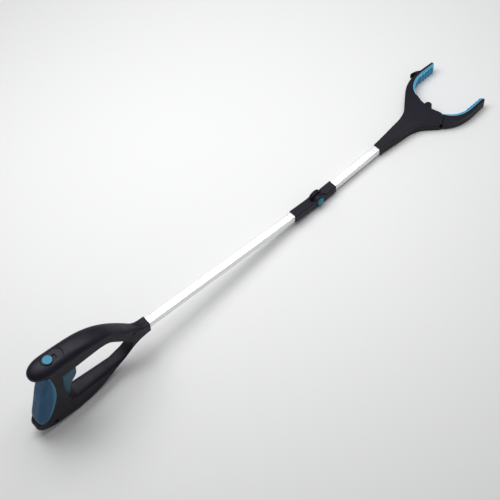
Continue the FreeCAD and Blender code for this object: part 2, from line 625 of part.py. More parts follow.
# ------------------------------------------------------------------ head housing
JAW = (size["jaw_pivot_x"], size["jaw_pivot_y"])
SEAM = size["seam_radius"]
SEAM_OUT, SEAM_IN = 66.4, 23.4
seam_outer, seam_inner = polar(JAW, SEAM, SEAM_OUT), polar(JAW, SEAM, SEAM_IN)
NECK_CURVE = [(NECK, size["neck_half"]), (150, 8.7), (175, 10.9), (188, 12.0), (198, 14.8),
              (206, 19.0), (215, 26.5), (223, 33.6), seam_outer]
FRONT_EDGE = [seam_inner, (240.4, 20.5), (238.4, 14.5), (237.4, 8.5), (237.4, 0)]


def head_plan():
    half = ring_of(curve(*NECK_CURVE),
                   arc(seam_outer, polar(JAW, SEAM, (SEAM_OUT + SEAM_IN) / 2), seam_inner),
                   curve(*FRONT_EDGE))
    other = ring_of(curve(*mirror_y(NECK_CURVE)),
                    arc((seam_inner[0], -seam_inner[1]),
                        mirror_y([polar(JAW, SEAM, (SEAM_OUT + SEAM_IN) / 2)])[0],
                        (seam_outer[0], -seam_outer[1])),
                    curve(*mirror_y(FRONT_EDGE)))
    return half + other + line((NECK, -size["neck_half"]), (NECK, size["neck_half"]))


def head_height(inset):
    full = size["head_half_height"] - inset
    rise = [(NECK - 1, 7.0 - inset), (150, 7.5 - inset), (180, 9.0 - inset),
            (195, full - 0.25), (204, full)]
    fall = mirror_y(rise)
    return ring_of(curve(*rise), line(rise[-1], (246, full), (246, -full), fall[0]),
                   curve(*fall), line(fall[-1], rise[0]))


head_block = common("head_block", extrude("head_outline", "plan", head_plan(), -12, 12),
                    extrude("head_profile", "side", head_height(0), -60, 60))
boss = cylinder("magnet_boss", (size["boss_x"], 0, 0), "z", size["boss_radius"], -9.4, 9.4,
                "sheet.boss_radius")
chamber_half = [(146, 5.6), (192, 6.0), (202, 11.5), (213, 21.5), (223, 30.0), (231, 33.5),
                (237.0, 24.0), (235.4, 15), (234.0, 8)]
chamber = common("head_chamber", extrude("chamber_outline", "plan", ring_of(
    line(*chamber_half), line(chamber_half[-1], mirror_y(chamber_half)[0]),
    line(*mirror_y(chamber_half)), line(mirror_y(chamber_half)[-1], chamber_half[0])), -12, 12),
    extrude("chamber_profile", "side", head_height(2.25), -60, 60))
HEAD_SCREWS = [(203.5, 12.6), (203.5, -12.6)]
jaw_posts = [cylinder("jaw_post_%d" % n, (JAW[0], side * JAW[1], 0), "z", size["hub_radius"],
                      low, high, "sheet.hub_radius")
             for n, (side, low, high) in enumerate(
                 ((1, 4.3, 9), (1, -9, -4.3), (-1, 4.3, 9), (-1, -9, -4.3)))]
head_posts = [cylinder("head_post_%d" % n, (x, y, 0), "z", 2.7, -9, 9)
              for n, (x, y) in enumerate(HEAD_SCREWS)]
chamber_hollow = cut("head_chamber_hollow", chamber, *(jaw_posts + head_posts))


def sector(name, side, start, stop, radius, half):
    """A pie slice about a jaw's pivot, the room its tongue swings through."""
    centre = (JAW[0], side * JAW[1])
    a, b = side * start, side * stop
    return extrude(name, "plan", ring_of(
        line(centre, polar(centre, radius, a)),
        arc(polar(centre, radius, a), polar(centre, radius, (a + b) / 2),
            polar(centre, radius, b)),
        line(polar(centre, radius, b), centre)), -half, half)


swings = [sector("tongue_swing_" + name, side, -8, 70, 27, size["tongue_half"] + 0.3)
          for name, side in (("left", 1), ("right", -1))]
hubs = [cylinder("hub_room_" + name, (JAW[0], side * JAW[1], 0), "z", size["hub_radius"] + 0.6,
                 -size["tongue_half"] - 0.3, size["tongue_half"] + 0.3)
        for name, side in (("left", 1), ("right", -1))]
pin_bores = [cylinder("jaw_pin_bore_" + name, (JAW[0], side * JAW[1], 0), "z",
                      size["jaw_pin_radius"], -9, 9, "sheet.jaw_pin_radius")
             for name, side in (("left", 1), ("right", -1))]
screw_bores = []
for number, (x, y) in enumerate(HEAD_SCREWS):
    screw_bores.append(cylinder("head_screw_bore_%d" % number, (x, y, 0), "z",
                                size["screw_radius"], -11, 7, "sheet.screw_radius"))
    screw_bores.append(cylinder("head_screw_seat_%d" % number, (x, y, 0), "z",
                                size["screw_head_radius"], -12, -7.6,
                                "sheet.screw_head_radius"))
magnet_seat = cylinder("magnet_seat", (0, 0, 0), "x", size["magnet_radius"],
                       size["boss_x"] + 1.7, size["boss_x"] + 9, "sheet.magnet_radius")
head_seat = box("head_tube_seat", (NECK - 1, NECK + 20.2), (-HALF_TUBE, HALF_TUBE),
                (-HALF_TUBE, HALF_TUBE))
head_solid = cut("head_hollowed", fuse("head_fused", head_block, boss), chamber_hollow, head_seat,
                 magnet_seat, *(swings + hubs + pin_bores + screw_bores))
for name, low, high in (("top", 0, 20), ("bottom", -20, 0)):
    half_space = box("head_half_" + name, (100, 300), (-70, 70), (low, high))
    finish("head_shell_" + name, common("head_" + name, head_solid, half_space), FRONT)
finish("magnet", cylinder("magnet_disc", (0, 0, 0), "x", size["magnet_radius"],
                          size["boss_x"] + 1.7, size["boss_x"] + 5.4,
                          "sheet.magnet_radius"), FRONT)
head_fasteners = []
for number, (x, y) in enumerate(HEAD_SCREWS):
    head_fasteners.append(cylinder("head_screw_head_%d" % number, (x, y, 0), "z",
                                   size["screw_head_radius"] - 0.1, -9.8, -7.6))
    head_fasteners.append(cylinder("head_screw_shank_%d" % number, (x, y, 0), "z",
                                   size["screw_radius"], -7.8, 6.8, "sheet.screw_radius"))
finish("head_screws", fuse("head_screw_group", *head_fasteners), FRONT)
jaw_pins = [cylinder("jaw_pin_%d" % n, (JAW[0], side * JAW[1], 0), "z", size["jaw_pin_radius"],
                     -8.9, 8.9, "sheet.jaw_pin_radius") for n, side in enumerate((1, -1))]
finish("jaw_pins", fuse("jaw_pin_group", *jaw_pins), FRONT)
springs = [coil("jaw_coil", (JAW[0], side * JAW[1], 0), "z", 4.7, 0.45, 4.5, 7.9, 2.5)
           for side in (1, -1)]
finish("jaw_springs", coded("jaw_coils", Part.makeCompound(springs)), FRONT)

# ------------------------------------------------------------------ jaws and their pads
LEVER = size["lever_radius"]
lever_tip = polar(JAW, LEVER, -90 + size["lever_angle"])
JAW_SEAM = SEAM + 0.35
TIP_X = size["jaw_tip_x"]
PAD_Y = size["pad_inner_y"]
BACK_Y = PAD_Y + 3.2
jaw_outer = [polar(JAW, JAW_SEAM, SEAM_OUT - 0.6), (238, 45.9), (249, 51.9), (260, 55.3),
             (272, 56.7), (290, 56.4), (TIP_X + 0.8, 55.4)]
jaw_back = [(TIP_X + 2.3, BACK_Y), (290, BACK_Y + 0.3), (274, BACK_Y), (263, 49.2), (254, 44.2),
            (247, 37.0), (243.5, 30.6)]
PAD_FACE = [(242.6, 27.6), (247, 33.2), (252.5, 39.2), (259, 43.8), (266, 46.8), (274, 48.2)]


def jaw_blade_outline():
    seam_mid = polar(JAW, JAW_SEAM, (SEAM_OUT + SEAM_IN) / 2)
    inner = polar(JAW, JAW_SEAM, SEAM_IN + 1.2)
    return ring_of(curve(*jaw_outer),
                   arc(jaw_outer[-1], (TIP_X + 2.9, BACK_Y + 1.8), jaw_back[0]),
                   curve(*jaw_back), line(jaw_back[-1], inner),
                   arc(inner, seam_mid, jaw_outer[0]))


def pad_outline():
    """The pad's inner face has shallow grip ridges along its straight run."""
    ridges = [(274, PAD_Y)]
    count = 5
    step = (TIP_X - 1.5 - 274) / count
    for number in range(count):
        x = 274 + step * number
        ridges += [(x + step * 0.5, PAD_Y - 1.1), (x + step, PAD_Y)]
    face = PAD_FACE[:-1] + [(274, PAD_Y)]
    return ring_of(curve(*face), curve(*ridges),
                   arc(ridges[-1], (TIP_X + 1.2, PAD_Y + 1.2), jaw_back[0]), curve(*jaw_back),
                   line(jaw_back[-1], face[0]))


def flip(made, name, side):
    """The same sub-part on the other side of the head."""
    if side > 0:
        return made
    mirrored = doc.addObject("Part::Mirroring", name)
    mirrored.Source = made
    mirrored.Base = Vec(0, 0, 0)
    mirrored.Normal = Vec(0, 1, 0)
    return mirrored


def jaw_tongue(name):
    """The tongue inside the housing: hub, blade root, lever and the pin that the yoke pulls."""
    root = extrude(name + "_root", "plan", ring_of(
        line(polar(JAW, 2.0, -20), polar(JAW, SEAM + 1, SEAM_IN + 2)),
        arc(polar(JAW, SEAM + 1, SEAM_IN + 2), polar(JAW, SEAM + 1, 45),
            polar(JAW, SEAM + 1, SEAM_OUT - 8)),
        line(polar(JAW, SEAM + 1, SEAM_OUT - 8), polar(JAW, 2.0, 110), polar(JAW, 2.0, -20))),
        -size["tongue_half"], size["tongue_half"])
    hub = cylinder(name + "_hub", (JAW[0], JAW[1], 0), "z", size["hub_radius"],
                   -size["tongue_half"], size["tongue_half"], "sheet.hub_radius")
    low, high = -size["tongue_half"], -0.6
    away = math.degrees(math.atan2(lever_tip[1] - JAW[1], lever_tip[0] - JAW[0]))
    arm_corners = [polar(JAW, 3.2, away + 90), polar(JAW, 3.2, away - 90),
                   polar(lever_tip, 3.0, away - 90), polar(lever_tip, 3.0, away + 90)]
    arm = extrude(name + "_arm", "plan", line(*(arm_corners + arm_corners[:1])), low, high)
    arm_end = cylinder(name + "_arm_end", (lever_tip[0], lever_tip[1], 0), "z", 3.0, low, high)
    pin = cylinder(name + "_pin", (lever_tip[0], lever_tip[1], 0), "z",
                   size["lever_pin_radius"], low, 3.2, "sheet.lever_pin_radius")
    return [root, hub, arm, arm_end, pin]


for side_name, side in (("left", 1), ("right", -1)):
    tag = "jaw_%s_" % side_name
    pieces = [extrude(tag + "blade", "plan", jaw_blade_outline(), -size["jaw_half_height"],
                      size["jaw_half_height"])] + jaw_tongue(tag + "tongue")
    if side > 0:
        pieces.append(extrude(tag + "hook", "plan", ring_of(
            curve((284, 55.6), (280, 58.8), (274, 61.6), (267, 62.6)),
            arc((267, 62.6), (265.6, 61.4), (266.6, 60.2)),
            curve((266.6, 60.2), (271.5, 59.4), (274.5, 57.6), (275.5, 55.6)),
            line((275.5, 55.6), (284, 55.6))), -1.0, size["jaw_half_height"]))
    whole = cut(tag + "bored", fuse(tag + "fused", *pieces),
                cylinder(tag + "bore", (JAW[0], JAW[1], 0), "z", size["jaw_pin_radius"] + 0.05,
                         -9, 9, "sheet.jaw_pin_radius + sheet.fit_gap"))
    finish("jaw_" + side_name, flip(whole, tag + "mirrored", side), FRONT)
    pad = extrude(tag + "pad", "plan", pad_outline(), -size["jaw_half_height"] - 0.4,
                  size["jaw_half_height"] + 0.4)
    finish("jaw_pad_" + side_name, flip(pad, tag + "pad_mirrored", side), FRONT)

# ------------------------------------------------------------------ yoke and front cable
bar = box("yoke_bar", (lever_tip[0] - 4, lever_tip[0] + 4), (-13.7, 13.7), (-0.3, 3.1))
yoke_stem = box("yoke_stem", (198, lever_tip[0] - 3), (-3, 3), (-3, 3.1))
slots = []
for number, side in enumerate((1, -1)):
    slots.append(box("yoke_slot_%d" % number, (lever_tip[0] - 2.2, lever_tip[0] + 2.2),
                     (side * lever_tip[1] - 2.5, side * lever_tip[1] + 2.6), (-1, 4)))
finish("yoke", cut("yoke_solid", fuse("yoke_fused", bar, yoke_stem),
                   cylinder("yoke_bore", (0, 0, 0), "x", size["cable_radius"], 190, 212,
                            "sheet.cable_radius"), *slots), FRONT)
finish("cable_front", cylinder("front_wire", (0, 0, 0), "x", size["cable_radius"],
                               -size["cable_split"] + 0.25, 212, "sheet.cable_radius"), FRONT)
ferrule = cut("ferrule_drilled", cylinder("ferrule_barrel", (0, 0, 0), "x", 2.2, 191, 198),
              cylinder("ferrule_bore", (0, 0, 0), "x", size["cable_radius"], 190, 199,
                       "sheet.cable_radius"))
finish("cable_ferrule", ferrule, FRONT)

# ------------------------------------------------------------------ check and write
doc.recompute()
for item in doc.Objects:
    if "Invalid" in item.State or "Error" in item.State:
        raise RuntimeError("bad object: " + item.Name)
for item in finished:
    if item.Shape.isNull() or not item.Shape.isValid():
        raise RuntimeError("bad shape: " + item.Label)
    item.Shape.exportStep(os.path.join("parts", item.Label + ".step"))
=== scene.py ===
import bmesh
import bpy
import json
import math
import numpy as np
from mathutils import Matrix, Vector


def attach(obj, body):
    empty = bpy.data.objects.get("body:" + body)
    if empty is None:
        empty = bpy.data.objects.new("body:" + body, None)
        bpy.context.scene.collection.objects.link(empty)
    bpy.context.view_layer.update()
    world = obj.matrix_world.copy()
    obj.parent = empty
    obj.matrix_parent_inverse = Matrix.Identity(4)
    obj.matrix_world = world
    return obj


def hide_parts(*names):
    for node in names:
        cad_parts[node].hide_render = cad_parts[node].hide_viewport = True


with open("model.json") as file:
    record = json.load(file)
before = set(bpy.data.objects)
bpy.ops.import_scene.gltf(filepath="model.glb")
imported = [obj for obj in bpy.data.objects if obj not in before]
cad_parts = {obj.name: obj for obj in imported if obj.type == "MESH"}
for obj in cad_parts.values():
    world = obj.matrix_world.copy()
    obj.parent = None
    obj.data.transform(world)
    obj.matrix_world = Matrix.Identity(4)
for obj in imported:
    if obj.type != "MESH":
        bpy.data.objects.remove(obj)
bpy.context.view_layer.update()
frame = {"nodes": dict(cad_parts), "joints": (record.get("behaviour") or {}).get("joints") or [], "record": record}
MM = 0.001

# ------------------------------------------------------------------ the tool's own frames
# Shapes are drawn in millimetres on a straight tool: +X forward, +Z up, the tube's centre
# line on Z = 0 and the fold axis at X = 0. These matrices set them in the resting pose.
JOINTS = {joint["name"]: joint for joint in frame["joints"]}
BODY_OF = {node: body for body, nodes in frame["record"]["behaviour"]["bodies"].items()
           for node in nodes}
FOLD_POINT = Vector(JOINTS["fold_hinge"]["pos_m"])
REAR_FORWARD = Vector(JOINTS["lock_slide_forward"]["axis"])
FRONT_FORWARD = Vector((1, 0, 0))
LEFT = Vector((0, 1, 0))
FOLD_HEIGHT = 3.2
HINGE_HALF = 7.4


def section_frame(forward):
    up = forward.cross(LEFT)
    turn = Matrix((forward, LEFT, up)).transposed()
    start = FOLD_POINT - turn @ Vector((0, 0, FOLD_HEIGHT * MM))
    return Matrix.Translation(start) @ turn.to_4x4() @ Matrix.Scale(MM, 4)


REAR = section_frame(REAR_FORWARD)
FRONT = section_frame(FRONT_FORWARD)


# ------------------------------------------------------------------ pieces
def linked(name, data):
    thing = bpy.data.objects.new(name, data)
    bpy.context.scene.collection.objects.link(thing)
    return thing


def mesh_from(name, place, points, faces):
    """A mesh from points in a straight tool frame."""
    mesh = bpy.data.meshes.new(name)
    mesh.from_pydata([place @ Vector(p) for p in points], [], faces)
    return mesh


def outward(mesh):
    """Turns every face to look outwards."""
    work = bmesh.new()
    work.from_mesh(mesh)
    bmesh.ops.recalc_face_normals(work, faces=work.faces)
    work.to_mesh(mesh)
    work.free()


def dress(node, mesh, look):
    """Puts a mesh in the place of a CAD node, on the node's body and in its material slot."""
    piece = linked(node + "_moulded", mesh)
    mesh.materials.clear()
    mesh.materials.append(look.made)
    for face in mesh.polygons:
        face.use_smooth = True
    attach(piece, BODY_OF[node])
    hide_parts(node)
    return piece


def new_piece(node, place, points, faces, look):
    """A newly drawn piece in the place of a CAD node."""
    mesh = mesh_from(node + "_moulded", place, points, faces)
    mesh.validate()
    piece = dress(node, mesh, look)
    outward(mesh)
    return piece


def baked(piece):
    """Applies a piece's modifiers."""
    depsgraph = bpy.context.evaluated_depsgraph_get()
    mesh = bpy.data.meshes.new_from_object(piece.evaluated_get(depsgraph))
    piece.modifiers.clear()
    piece.data = mesh


def soften(piece, voxel, rounds):
    """Turns a piece's sharp edges into small round ones."""
    look = piece.data.materials[0]
    grid = piece.modifiers.new("grid", "REMESH")
    grid.mode = "VOXEL"
    grid.voxel_size = voxel * MM
    grid.use_smooth_shade = True
    soft = piece.modifiers.new("soft", "SMOOTH")
    soft.factor = 0.5
    soft.iterations = rounds
    baked(piece)
    piece.data.materials.clear()
    piece.data.materials.append(look)


def softened(node, look, voxel, rounds):
    """A moulded copy of a CAD node."""
    piece = dress(node, frame["nodes"][node].data.copy(), look)
    soften(piece, voxel, rounds)
    return piece


def shade_by_angle(piece, degrees):
    """Smooth shading that keeps edges sharper than the given angle crisp."""
    piece.data.set_sharp_from_angle(angle=math.radians(degrees))


def combine(piece, place, blocks, operation):
    """Cuts blocks, given in a straight tool frame, out of a piece, or adds them to it."""
    tools = []
    for name, points, faces in blocks:
        mesh = mesh_from(name, place, points, faces)
        outward(mesh)
        tool = linked(name, mesh)
        tools.append(tool)
        step = piece.modifiers.new(name, "BOOLEAN")
        step.operation = operation
        step.solver = "EXACT"
        step.object = tool
    bpy.context.view_layer.update()
    baked(piece)
    for tool in tools:
        bpy.data.objects.remove(tool)


# ------------------------------------------------------------------ lines and blocks
def smooth_line(points, count):
    """Evenly spaced points on a natural cubic curve through the given points."""
    points = np.array(points, float)
    steps = np.linalg.norm(np.diff(points, axis=0), axis=1)
    knots = np.concatenate([[0], np.cumsum(steps)])
    size = len(points)
    matrix = np.eye(size)
    right = np.zeros_like(points)
    for i in range(1, size - 1):
        before, after = steps[i - 1], steps[i]
        matrix[i, i - 1:i + 2] = before, 2 * (before + after), after
        right[i] = 6 * ((points[i + 1] - points[i]) / after - (points[i] - points[i - 1]) / before)
    bend = np.linalg.solve(matrix, right)
    dense = np.linspace(0, knots[-1], 20 * size)
    span = np.clip(np.searchsorted(knots, dense, side="right") - 1, 0, size - 2)
    width = steps[span][:, None]
    near = (dense - knots[span])[:, None]
    far = width - near
    line = (bend[span] * far ** 3 + bend[span + 1] * near ** 3) / (6 * width)
    line += (points[span] / width - bend[span] * width / 6) * far
    line += (points[span + 1] / width - bend[span + 1] * width / 6) * near
    return spaced(line, count)


def spaced(line, count):
    """The same polyline with evenly spaced points."""
    line = np.array(line, float)
    run = np.concatenate([[0], np.cumsum(np.linalg.norm(np.diff(line, axis=0), axis=1))])
    marks = np.linspace(0, run[-1], count)
    return np.stack([np.interp(marks, run, line[:, k]) for k in range(line.shape[1])], axis=1)


def joined(*lines):
    """Polylines end to end, without repeating the points where they meet."""
    points = [lines[0]]
    for line in lines[1:]:
        points.append(np.array(line)[1:])
    return np.concatenate(points)


def at_height(line, z):
    """X of a line in X and Z, given from its top down, at one height."""
    rising = line[::-1]
    return float(np.interp(z, rising[:, 1], rising[:, 0]))


def ramp(value, start, reach):
    """Grows from 0 to 1 from the start over the reach, which may be negative."""
    return float(np.clip((value - start) / reach, 0, 1))


def grid_faces(rows, columns, close_rows=False, close_columns=False):
    """Quads over a grid of points stored row after row."""
    faces = []
    for row in range(rows if close_rows else rows - 1):
        for column in range(columns if close_columns else columns - 1):
            below = (row + 1) % rows
            right = (column + 1) % columns
            faces.append((row * columns + column, row * columns + right,
                          below * columns + right, below * columns + column))
    return faces


def prism(name, outline, low, high, plane="side"):
    """A block: an outline in X and Z (side) or X and Y (plan), given a thickness."""
    count = len(outline)
    points = []
    for level in (low, high):
        for x, other in outline:
            points.append((x, level, other) if plane == "side" else (x, other, level))
    faces = [tuple(range(count)), tuple(range(2 * count - 1, count - 1, -1))]
    for i in range(count):
        j = (i + 1) % count
        faces.append((i, i + count, j + count, j))
    return name, points, faces


def through(name, outline, half):
    """A block with its side outline, as thick to the left as to the right."""
    return prism(name, outline, -half, half)


def arc_outline(centre, radius, start, end, count):
    """Points along an arc whose angles are in radians."""
    return [(centre[0] + radius * math.cos(a), centre[1] + radius * math.sin(a))
            for a in np.linspace(start, end, count)]


def disc_outline(centre, radius, count=32):
    return arc_outline(centre, radius, 0, 2 * math.pi, count + 1)[:-1]


def box_outline(across, up):
    return [(across[0], up[0]), (across[1], up[0]), (across[1], up[1]), (across[0], up[1])]


# ------------------------------------------------------------------ materials
class Look:
    """A procedural material built up from small node steps."""

    def __init__(self, name, rough=0.5, metal=0.0):
        self.made = bpy.data.materials.new(name)
        self.made.use_nodes = True
        self.nodes = self.made.node_tree.nodes
        self.links = self.made.node_tree.links
        self.shader = self.nodes["Principled BSDF"]
        self.set("Metallic", metal)
        self.set("Roughness", rough)
        self.place = self.nodes.new("ShaderNodeTexCoord").outputs["Object"]

    def set(self, socket, value):
        self.shader.inputs[socket].default_value = value

    def add(self, kind, **settings):
        node = self.nodes.new(kind)
        for key, value in settings.items():
            setattr(node, key, value)
        return node

    def noise(self, scale, detail=3.0, rough=0.5, stretch=(1, 1, 1)):
        mapping = self.add("ShaderNodeMapping")
        mapping.inputs["Scale"].default_value = stretch
        self.links.new(self.place, mapping.inputs["Vector"])
        node = self.add("ShaderNodeTexNoise")
        node.inputs["Scale"].default_value = scale
        node.inputs["Detail"].default_value = detail
        node.inputs["Roughness"].default_value = rough
        self.links.new(mapping.outputs["Vector"], node.inputs["Vector"])
        return node.outputs["Fac"]

    def edges(self, low, high):
        """Bright on convex edges, from the mesh's own curvature."""
        source = self.add("ShaderNodeNewGeometry").outputs["Pointiness"]
        return self.remap(source, low, high)

    def remap(self, value, low, high, to_low=0, to_high=1):
        node = self.add("ShaderNodeMapRange")
        node.inputs["From Min"].default_value = low
        node.inputs["From Max"].default_value = high
        node.inputs["To Min"].default_value = to_low
        node.inputs["To Max"].default_value = to_high
        self.links.new(value, node.inputs["Value"])
        return node.outputs["Result"]

    def times(self, first, second):
        node = self.add("ShaderNodeMath", operation="MULTIPLY")
        self.links.new(first, node.inputs[0])
        self.links.new(second, node.inputs[1])
        return node.outputs["Value"]

    def blend(self, amount, first, second):
        """A colour mix; first and second are colours or sockets."""
        node = self.add("ShaderNodeMix", data_type="RGBA")
        self.links.new(amount, node.inputs["Factor"])
        for socket, value in ((node.inputs[6], first), (node.inputs[7], second)):
            if isinstance(value, tuple):
                socket.default_value = value + (1,)
            else:
                self.links.new(value, socket)
        return node.outputs[2]

    def colour(self, value):
        self.links.new(value, self.shader.inputs["Base Color"])

    def roughness(self, pattern, low, high):
        """Roughness that follows a noise pattern from low to high."""
        self.links.new(self.remap(pattern, 0.3, 0.7, low, high), self.shader.inputs["Roughness"])

    def bump(self, height, strength, depth):
        node = self.add("ShaderNodeBump")
        node.inputs["Strength"].default_value = strength
        node.inputs["Distance"].default_value = depth * MM
        self.links.new(height, node.inputs["Height"])
        if self.shader.inputs["Normal"].is_linked:
            before = self.shader.inputs["Normal"].links[0].from_socket
            self.links.new(before, node.inputs["Normal"])
        self.links.new(node.outputs["Normal"], self.shader.inputs["Normal"])


def moulded(name, dark, light, worn, rough, grain, shine):
    """Injection-moulded plastic: fine spark grain, cloudy colour, scuffs, polished edges."""
    look = Look(name)
    look.set("Specular IOR Level", shine)
    clouds = look.remap(look.noise(28, detail=4, rough=0.6), 0.35, 0.65)
    base = look.blend(clouds, dark, light)
    patches = look.remap(look.noise(140, detail=5, rough=0.7), 0.52, 0.7, to_low=0.15)
    wear = look.times(look.edges(0.52, 0.60), patches)
    look.colour(look.blend(wear, base, worn))
    look.roughness(look.noise(60, detail=6, rough=0.65), *rough)
    look.bump(look.noise(grain, detail=2), strength=0.35, depth=0.03)
    look.bump(look.noise(90), strength=0.2, depth=0.05)
    return look


def rubber(name, dark, light, rim):
    """Soft grip rubber: matte, finely pebbled, a little dust, and a painted highlight that pales its thin edges.
    """
    look = Look(name)
    look.set("Specular IOR Level", 0.35)
    look.set("Sheen Weight", 0.06)
    look.set("Sheen Roughness", 0.4)
    clouds = look.remap(look.noise(35, detail=4, rough=0.6), 0.35, 0.65)
    base = look.blend(clouds, dark, light)
    # painted highlight: the rim colour is laid on the thin convex edges, and the dust below takes the same colour
    painted_rim_highlight = look.blend(look.edges(0.505, 0.56), base, rim)
    dust = look.remap(look.noise(420, detail=4, rough=0.7), 0.60, 0.78, to_high=0.2)
    look.colour(look.blend(dust, painted_rim_highlight, rim))
    look.roughness(look.noise(180), 0.55, 0.72)
    look.bump(look.noise(1900, detail=2), strength=0.4, depth=0.04)
    return look


def drawn_metal(name, tint, worn, rough, direction=(1, 1, 1)):
    """Metal with fine lines along one direction."""
    look = Look(name, metal=1.0)
    lines = look.noise(1400, detail=3, rough=0.6, stretch=direction)
    look.colour(look.blend(look.remap(lines, 0.3, 0.7), tint, worn))
    look.roughness(look.noise(220, detail=4, rough=0.6, stretch=direction), *rough)
    look.bump(lines, strength=0.12, depth=0.02)
    return look


def stranded_wire():
    """Twisted strands seen as slanting ridges along the wire."""
    look = Look("stranded_wire", metal=1.0)
    wave = look.add("ShaderNodeTexWave", bands_direction="DIAGONAL")
    wave.inputs["Scale"].default_value = 900
    wave.inputs["Distortion"].default_value = 0.5
    look.links.new(look.place, wave.inputs["Vector"])
    ridges = wave.outputs["Fac"]
    # The dark colour follows the grooves between the strands: painted shade, with the ridges lighter.
    look.colour(look.blend(ridges, (0.22, 0.22, 0.23), (0.48, 0.48, 0.5)))
    look.roughness(look.noise(300), 0.28, 0.42)
    look.bump(ridges, strength=0.5, depth=0.05)
    return look


BLACK = moulded("black_plastic", dark=(0.0058, 0.0052, 0.0120), light=(0.0088, 0.0078, 0.0165),
                worn=(0.024, 0.022, 0.034), rough=(0.44, 0.60), grain=2600, shine=0.22)
BLACK_SMOOTH = moulded("black_cover_plastic", dark=(0.0062, 0.0055, 0.0130),
                       light=(0.0092, 0.0082, 0.0175), worn=(0.024, 0.022, 0.034),
                       rough=(0.40, 0.54), grain=3200, shine=0.22)
BLUE = moulded("blue_plastic", dark=(0.014, 0.18, 0.31), light=(0.025, 0.225, 0.36),
               worn=(0.08, 0.38, 0.52), rough=(0.34, 0.48), grain=3000, shine=0.28)
TRIGGER_BLUE = moulded("trigger_plastic", dark=(0.014, 0.085, 0.14), light=(0.022, 0.115, 0.18),
                       worn=(0.05, 0.20, 0.29), rough=(0.36, 0.5), grain=3000, shine=0.3)
# Each rim colour is a painted highlight on the pad's thin edges; the dust takes the same colour.
PALM_RUBBER = rubber("palm_rubber", dark=(0.008, 0.07, 0.16), light=(0.013, 0.095, 0.20),
                     rim=(0.06, 0.27, 0.40))
JAW_RUBBER = rubber("jaw_rubber", dark=(0.012, 0.23, 0.43), light=(0.022, 0.29, 0.50),
                    rim=(0.55, 0.88, 0.95))
ALUMINIUM = drawn_metal("satin_aluminium", tint=(0.86, 0.865, 0.87), worn=(0.80, 0.805, 0.81),
                        rough=(0.24, 0.36), direction=(0.02, 1, 1))
STEEL = drawn_metal("turned_steel", tint=(0.52, 0.52, 0.53), worn=(0.42, 0.42, 0.43),
                    rough=(0.2, 0.34), direction=(1, 0.05, 1))
BLACKENED = drawn_metal("blackened_steel", tint=(0.06, 0.06, 0.065), worn=(0.10, 0.10, 0.105),
                        rough=(0.3, 0.45))
MAGNET = drawn_metal("plated_magnet", tint=(0.10, 0.10, 0.105), worn=(0.14, 0.14, 0.145),
                     rough=(0.3, 0.45))
WIRE = stranded_wire()

# ------------------------------------------------------------------ CAD nodes that stay
CARRIED = {
    "rear_tube": ALUMINIUM, "front_tube": ALUMINIUM, "yoke": BLACK, "magnet": MAGNET,
    "cable_rear": WIRE, "cable_front": WIRE, "handle_screws": BLACKENED, "head_screws": STEEL,
    "trigger_pin": STEEL, "trigger_spring": STEEL, "cable_guides": STEEL, "hinge_pin": STEEL,
    "release_spring": STEEL, "cable_stop": STEEL, "jaw_pins": STEEL, "jaw_springs": STEEL,
    "cable_ferrule": STEEL,
}
for node, look in CARRIED.items():
    mesh = frame["nodes"][node].data
    mesh.materials.clear()
    mesh.materials.append(look.made)

# ------------------------------------------------------------------ handle shells
# Side outlines in X and Z. The outside edge and the finger loop go round together.
NOSE = -320.0
PAD_TOP = 56
PAD_LOW = -37.4
TOP_EDGE = [(NOSE, 7.9), (-332, 9.5), (-346, 21.5), (-366, 41), (-389, 56), (-416, 63.8),
            (-440, 66.2), (-478, 66.8)]
GRIP_BACK = [(-480.5, PAD_TOP), (-484.3, 38), (-491.3, 20), (-497.3, 2), (-502.6, -17),
             (-506.4, -33), (-507, -36)]
HEEL = [(-507, -36), (-511.2, -39), (-514.2, -43.5), (-514.8, -48.8), (-511, -53.5)]
SOLE = [(-511, -53.5), (-500, -57.3), (-477, -61.3), (-456, -63.1)]
GUARD = [(-430, -60.1), (-414, -54.5), (-389, -41), (-361, -25), (-338, -11.5), (NOSE, -8.9)]
LOOP_ROOF = 38.8
LOOP_FLOOR = -28.0
LOOP_NOSE_TOP = [(-353.4, -4), (-358, 4), (-373, 21), (-388, 35.5), (-402, LOOP_ROOF)]
LOOP_BACK = [(-459, LOOP_ROOF), (-461.5, 4), (-460, -12), (-456, -24), (-448, LOOP_FLOOR)]
LOOP_NOSE_LOW = [(-382, LOOP_FLOOR), (-366, -23.5), (-356, -15), (-353.1, -7)]

# Half widths in plan, from the heel to the nose.
SHELL_WIDTH = [(-516, 7.6), (-508, 10.6), (-498, 11.8), (-475, 12.4), (-445, 12.0), (-410, 10.9),
               (-376, 9.6), (-345, 8.3), (NOSE, 7.9)]
WIDTH_LINE = smooth_line(SHELL_WIDTH, 200)

# The shells' edges: how round they are, and the small bevel where the two shells meet.
EDGE_ROUND, LESS_AT_NOSE, LESS_AT_HEEL = 5.2, 4.0, 2.6
LOOP_ROUND, MORE_ON_GUARD = 2.6, 3.9
SPLIT_GAP, SPLIT_RISE, SPLIT_BEVEL = 0.04, 0.2, 0.14
ROUND_STEPS = 6
FLANK_STEPS = 8


def half_width(x):
    return float(np.interp(x, WIDTH_LINE[:, 0], WIDTH_LINE[:, 1]))


